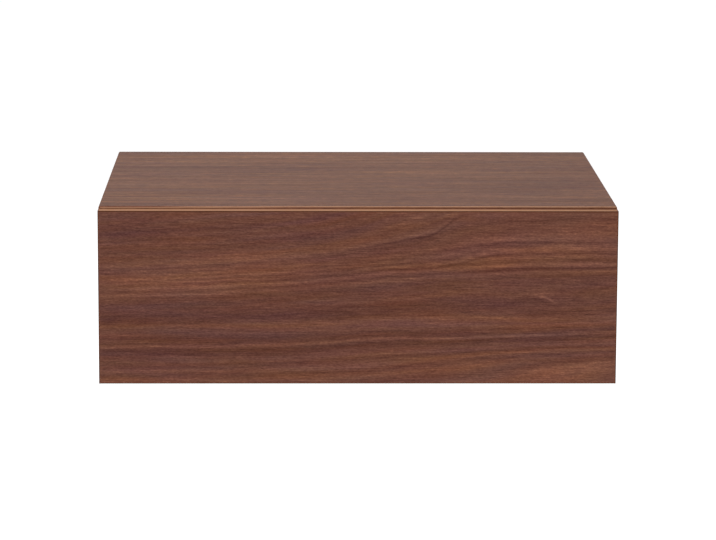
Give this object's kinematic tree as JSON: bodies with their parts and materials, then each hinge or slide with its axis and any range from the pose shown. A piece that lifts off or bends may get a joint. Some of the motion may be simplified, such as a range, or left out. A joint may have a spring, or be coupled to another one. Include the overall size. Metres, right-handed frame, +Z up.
{
  "type": "floating nightstand",
  "caption": "Wall-hung walnut-veneered nightstand: a plain mitred box whose whole front is a handleless drawer on ball-bearing slides.",
  "frame": {"origin": "centre of the wall cleat's back face, which lies on the wall", "axes": "+X to the right across the front, +Y into the wall (the drawer pulls out along -Y), +Z up"},
  "size_m": [0.45, 0.35, 0.154],
  "materials": {
    "walnut_veneer": "satin lacquer",
    "walnut_edge": "satin lacquer",
    "pine": "planed, bare",
    "birch_ply": "sanded, clear sealed",
    "birch": "clear lacquer",
    "zinc_screw": "zinc plated",
    "zinc_steel": "zinc plated",
    "cage_steel": "bright, oiled",
    "stop_plastic": "moulded",
    "bumper_silicone": "soft, clear"
  },
  "bodies": {
    "case": {"case_top": "walnut_veneer", "case_bottom": "walnut_veneer", "case_left": "walnut_veneer", "case_right": "walnut_veneer", "case_band_top": "walnut_edge", "case_band_bottom": "walnut_edge", "case_band_left": "walnut_edge", "case_band_right": "walnut_edge", "mitre_spline_top_left": "birch_ply", "mitre_spline_top_right": "birch_ply", "mitre_spline_bottom_left": "birch_ply", "mitre_spline_bottom_right": "birch_ply", "back_panel": "birch_ply", "case_cleat": "pine", "wall_cleat": "pine", "cleat_screw_1": "zinc_screw", "cleat_screw_2": "zinc_screw", "cleat_screw_3": "zinc_screw", "cleat_screw_4": "zinc_screw", "slide_outer_left": "zinc_steel", "slide_rear_stop_left": "stop_plastic", "slide_case_screw_left_1": "zinc_screw", "slide_case_screw_left_2": "zinc_screw", "slide_outer_right": "zinc_steel", "slide_rear_stop_right": "stop_plastic", "slide_case_screw_right_1": "zinc_screw", "slide_case_screw_right_2": "zinc_screw"},
    "drawer": {"drawer_front": "walnut_veneer", "front_band_top": "walnut_edge", "front_band_bottom": "walnut_edge", "front_band_left": "walnut_edge", "front_band_right": "walnut_edge", "drawer_side_left": "birch", "drawer_side_right": "birch", "sub_front": "birch", "drawer_back": "birch", "drawer_bottom": "birch_ply", "front_screw_1": "zinc_screw", "front_screw_2": "zinc_screw", "front_screw_3": "zinc_screw", "front_screw_4": "zinc_screw", "bumper_lower_left": "bumper_silicone", "bumper_lower_right": "bumper_silicone", "bumper_upper_left": "bumper_silicone", "bumper_upper_right": "bumper_silicone", "slide_inner_left": "zinc_steel", "slide_drawer_screw_left_1": "zinc_screw", "slide_drawer_screw_left_2": "zinc_screw", "slide_inner_right": "zinc_steel", "slide_drawer_screw_right_1": "zinc_screw", "slide_drawer_screw_right_2": "zinc_screw"},
    "intermediate_left": {"slide_intermediate_left": "zinc_steel"},
    "cage_outer_left": {"ball_cage_outer_left": "cage_steel"},
    "cage_inner_left": {"ball_cage_inner_left": "cage_steel"},
    "intermediate_right": {"slide_intermediate_right": "zinc_steel"},
    "cage_outer_right": {"ball_cage_outer_right": "cage_steel"},
    "cage_inner_right": {"ball_cage_inner_right": "cage_steel"}
  },
  "joints": [
    {"name": "drawer_slide", "type": "slide", "parent": "case", "child": "drawer", "axis": [0, -1, 0], "range_m": [0, 0.3]},
    {"name": "cage_outer_left_slide", "type": "slide", "parent": "case", "child": "cage_outer_left", "axis": [0, -1, 0], "range_m": [0, 0.075]},
    {"name": "intermediate_left_slide", "type": "slide", "parent": "case", "child": "intermediate_left", "axis": [0, -1, 0], "range_m": [0, 0.15]},
    {"name": "cage_inner_left_slide", "type": "slide", "parent": "case", "child": "cage_inner_left", "axis": [0, -1, 0], "range_m": [0, 0.225]},
    {"name": "cage_outer_right_slide", "type": "slide", "parent": "case", "child": "cage_outer_right", "axis": [0, -1, 0], "range_m": [0, 0.075]},
    {"name": "intermediate_right_slide", "type": "slide", "parent": "case", "child": "intermediate_right", "axis": [0, -1, 0], "range_m": [0, 0.15]},
    {"name": "cage_inner_right_slide", "type": "slide", "parent": "case", "child": "cage_inner_right", "axis": [0, -1, 0], "range_m": [0, 0.225]}
  ],
  "couplings": [
    {"joint": "cage_outer_left_slide", "follows": "drawer_slide", "ratio": 0.25},
    {"joint": "intermediate_left_slide", "follows": "drawer_slide", "ratio": 0.5},
    {"joint": "cage_inner_left_slide", "follows": "drawer_slide", "ratio": 0.75},
    {"joint": "cage_outer_right_slide", "follows": "drawer_slide", "ratio": 0.25},
    {"joint": "intermediate_right_slide", "follows": "drawer_slide", "ratio": 0.5},
    {"joint": "cage_inner_right_slide", "follows": "drawer_slide", "ratio": 0.75}
  ]
}
